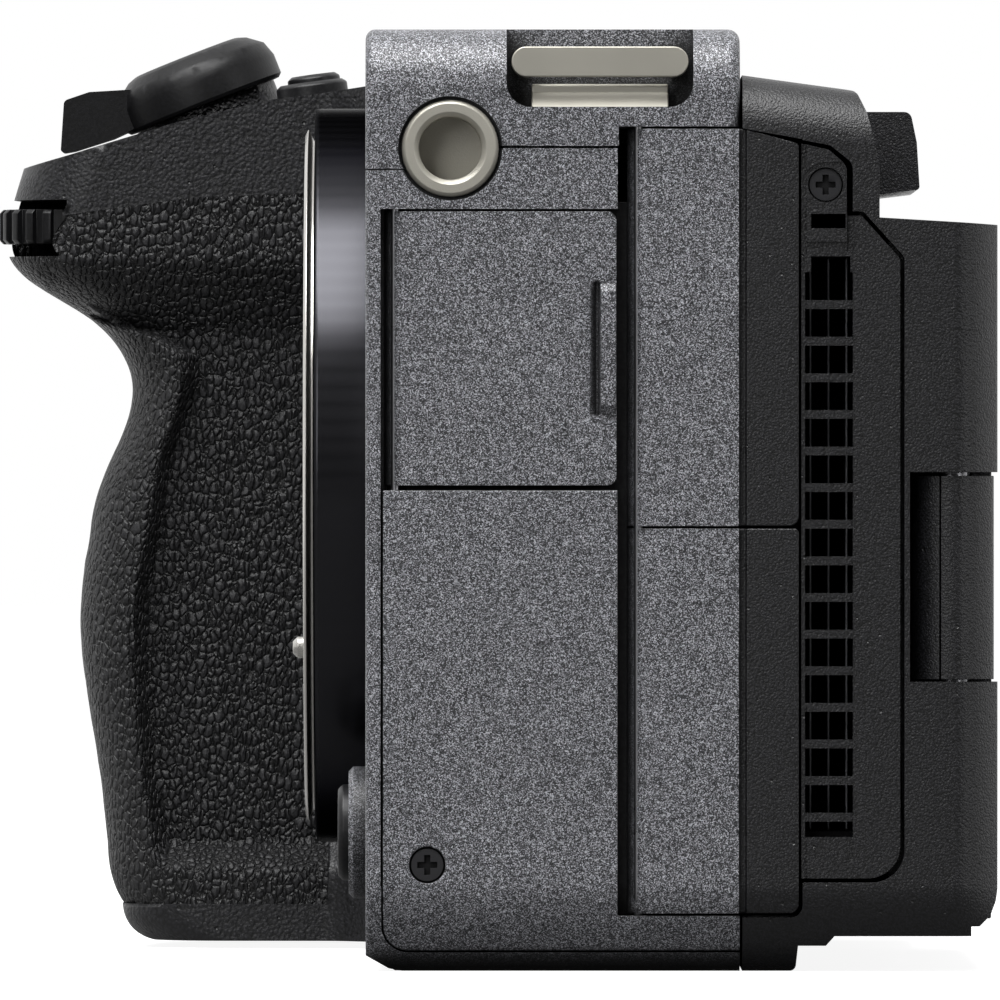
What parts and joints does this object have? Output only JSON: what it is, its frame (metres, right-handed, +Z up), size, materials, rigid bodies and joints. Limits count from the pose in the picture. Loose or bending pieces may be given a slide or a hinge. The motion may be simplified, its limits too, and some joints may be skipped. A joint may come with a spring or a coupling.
{
  "type": "cinema camera body",
  "caption": "Box-shaped cinema camera body with side grip, bayonet lens mount, hinged side doors, vent louvres and a swing-out monitor.",
  "frame": {"origin": "mouth of the tripod socket, in the middle of the base under the lens axis", "axes": "+Z up, -X the way the lens looks, +Y towards the hand grip"},
  "size_m": [0.0848, 0.1302, 0.0794],
  "materials": {
    "grey_metal": "fine sparkle grey metallic paint on cast alloy",
    "gloss_black": "gloss black moulding",
    "bright_steel": "turned and polished steel",
    "black_screw": "black oxide steel",
    "black_plastic": "matt black moulding",
    "cast_alloy": "bare cast alloy",
    "sensor_unit": "dark sensor carrier",
    "filter_glass": "coated glass",
    "circuit_board": "green circuit board",
    "bare_aluminium": "bare aluminium",
    "lamp_lens": "dark red lens",
    "button_black": "satin black moulding",
    "nickel_insert": "nickel plated steel",
    "satin_silver": "satin silver metal",
    "shoe_black": "black painted steel",
    "base_black": "matt black paint",
    "moulding_black": "fine textured black moulding",
    "pin_steel": "ground steel",
    "dial_black": "knurled satin black",
    "screen_glass": "black backed screen glass",
    "leatherette": "pebbled black leatherette",
    "grip_black": "pebbled black moulding",
    "battery_case": "dark grey moulding"
  },
  "bodies": {
    "camera_body": {"lens_surround": "gloss_black", "bayonet_ring": "bright_steel", "screws": "black_screw", "contact_block": "black_plastic", "chassis": "cast_alloy", "light_baffle": "black_plastic", "sensor_stabiliser": "sensor_unit", "sensor_filter": "filter_glass", "main_board": "circuit_board", "fan_housing": "black_plastic", "heat_sink": "bare_aluminium", "front_cover": "grey_metal", "front_tally_lamp": "lamp_lens", "top_cover": "grey_metal", "thread_inserts": "nickel_insert", "strap_eyelets": "satin_silver", "accessory_shoe": "shoe_black", "side_panel": "grey_metal", "base_plate": "base_black", "jack_tray": "black_plastic", "jack_sockets": "nickel_insert", "hinge_pins": "pin_steel", "vent_frame": "moulding_black", "rear_cover": "moulding_black", "control_unit": "black_plastic", "grip_leatherette": "leatherette", "grip_frame": "grip_black", "grip_foot": "grip_black", "battery": "battery_case", "card_slot_unit": "nickel_insert", "grip_top": "grip_black"},
    "audio_door_leaf": {"audio_door": "grey_metal"},
    "video_door_leaf": {"video_door": "grey_metal", "video_door_liner": "moulding_black"},
    "data_door_leaf": {"data_door": "grey_metal", "data_door_liner": "moulding_black"},
    "battery_door_leaf": {"battery_door": "grip_black"},
    "battery_latch_slider": {"battery_latch": "button_black"},
    "card_door_leaf": {"card_door": "grip_black"},
    "monitor": {"hinge_block": "moulding_black", "monitor_back": "moulding_black", "monitor_bezel": "moulding_black", "monitor_glass": "screen_glass"},
    "rear_dial_disc": {"rear_dial": "dial_black"},
    "front_dial_disc": {"front_dial": "dial_black"},
    "control_wheel_disc": {"control_wheel": "dial_black"},
    "centre_button_cap": {"centre_button": "button_black"},
    "gimbal": {"joystick_gimbal": "pin_steel"},
    "joystick_cap": {"joystick": "button_black"},
    "menu_button_cap": {"menu_button": "button_black"},
    "autofocus_button_cap": {"autofocus_button": "button_black"},
    "playback_button_cap": {"playback_button": "button_black"},
    "delete_button_cap": {"delete_button": "button_black"},
    "record_button_cap": {"record_button": "button_black"},
    "zoom_lever": {"zoom_ring": "dial_black"},
    "top_front_cap": {"top_button_front": "button_black"},
    "top_rear_cap": {"top_button_rear": "button_black"},
    "lens_release": {"lens_lock_pin": "bright_steel", "lens_release_button": "button_black"},
    "fan": {"fan_rotor": "black_plastic"}
  },
  "joints": [
    {"name": "audio_door_hinge", "type": "hinge", "parent": "camera_body", "child": "audio_door_leaf", "pos_m": [-0.01485, -0.04522, 0.051], "axis": [0, 0, -1], "range_deg": [0, 95]},
    {"name": "video_door_hinge", "type": "hinge", "parent": "camera_body", "child": "video_door_leaf", "pos_m": [0.0052, -0.04522, 0.053], "axis": [0, 0, -1], "range_deg": [0, 95]},
    {"name": "data_door_hinge", "type": "hinge", "parent": "camera_body", "child": "data_door_leaf", "pos_m": [0.0052, -0.04522, 0.0206], "axis": [0, 0, -1], "range_deg": [0, 95]},
    {"name": "battery_door_hinge", "type": "hinge", "parent": "camera_body", "child": "battery_door_leaf", "pos_m": [0.0069, 0.06385, 0.0013], "axis": [0, -1, 0], "range_deg": [0, 95]},
    {"name": "battery_latch_slide", "type": "slide", "parent": "battery_door_leaf", "child": "battery_latch_slider", "axis": [1, 0, 0], "range_m": [0, 0.0032]},
    {"name": "card_door_hinge", "type": "hinge", "parent": "camera_body", "child": "card_door_leaf", "pos_m": [0.0122, 0.083, 0.039], "axis": [0, 0, -1], "range_deg": [0, 95]},
    {"name": "monitor_hinge", "type": "hinge", "parent": "camera_body", "child": "monitor", "pos_m": [0.0312, -0.0422, 0.0325], "axis": [0, 0, -1], "range_deg": [0, 176]},
    {"name": "rear_dial_turn", "type": "hinge", "parent": "camera_body", "child": "rear_dial_disc", "pos_m": [0.0155, 0.072, 0.0731], "axis": [0, 0, 1], "continuous": true},
    {"name": "front_dial_turn", "type": "hinge", "parent": "camera_body", "child": "front_dial_disc", "pos_m": [-0.043, 0.0562, 0.0627], "axis": [0, 0, 1], "continuous": true},
    {"name": "control_wheel_turn", "type": "hinge", "parent": "camera_body", "child": "control_wheel_disc", "pos_m": [0.0303, 0.063, 0.034], "axis": [1, 0, 0], "continuous": true},
    {"name": "centre_button_press", "type": "slide", "parent": "camera_body", "child": "centre_button_cap", "axis": [-1, 0, 0], "range_m": [0, 0.0004], "stiffness_N_per_m": 500},
    {"name": "joystick_pan", "type": "hinge", "parent": "camera_body", "child": "gimbal", "pos_m": [0.0277, 0.061, 0.054], "axis": [0, 0, 1], "range_deg": [-8, 8], "stiffness_Nm_per_rad": 0.01},
    {"name": "joystick_tilt", "type": "hinge", "parent": "gimbal", "child": "joystick_cap", "pos_m": [0.0277, 0.061, 0.054], "axis": [0, 1, 0], "range_deg": [-8, 8], "stiffness_Nm_per_rad": 0.01},
    {"name": "menu_button_press", "type": "slide", "parent": "camera_body", "child": "menu_button_cap", "axis": [-1, 0, 0], "range_m": [0, 0.0004], "stiffness_N_per_m": 500},
    {"name": "autofocus_button_press", "type": "slide", "parent": "camera_body", "child": "autofocus_button_cap", "axis": [-1, 0, 0], "range_m": [0, 0.0004], "stiffness_N_per_m": 500},
    {"name": "playback_button_press", "type": "slide", "parent": "camera_body", "child": "playback_button_cap", "axis": [-1, 0, 0], "range_m": [0, 0.0004], "stiffness_N_per_m": 500},
    {"name": "delete_button_press", "type": "slide", "parent": "camera_body", "child": "delete_button_cap", "axis": [-1, 0, 0], "range_m": [0, 0.0004], "stiffness_N_per_m": 500},
    {"name": "record_button_press", "type": "slide", "parent": "camera_body", "child": "record_button_cap", "axis": [0.3665, 0, -0.9304], "range_m": [0, 0.0005], "stiffness_N_per_m": 500},
    {"name": "zoom_ring_turn", "type": "hinge", "parent": "camera_body", "child": "zoom_lever", "pos_m": [-0.032, 0.062, 0.0734], "axis": [-0.3665, 0, 0.9304], "range_deg": [-18, 18], "stiffness_Nm_per_rad": 0.02},
    {"name": "top_button_front_press", "type": "slide", "parent": "camera_body", "child": "top_front_cap", "axis": [0.1334, 0, -0.9911], "range_m": [0, 0.0005], "stiffness_N_per_m": 500},
    {"name": "top_button_rear_press", "type": "slide", "parent": "camera_body", "child": "top_rear_cap", "axis": [0.1334, 0, -0.9911], "range_m": [0, 0.0005], "stiffness_N_per_m": 500},
    {"name": "lens_release_press", "type": "slide", "parent": "camera_body", "child": "lens_release", "axis": [1, 0, 0], "range_m": [0, 0.0012], "stiffness_N_per_m": 900},
    {"name": "fan_spin", "type": "hinge", "parent": "camera_body", "child": "fan", "pos_m": [0.02, -0.008, 0.035], "axis": [1, 0, 0], "continuous": true}
  ]
}
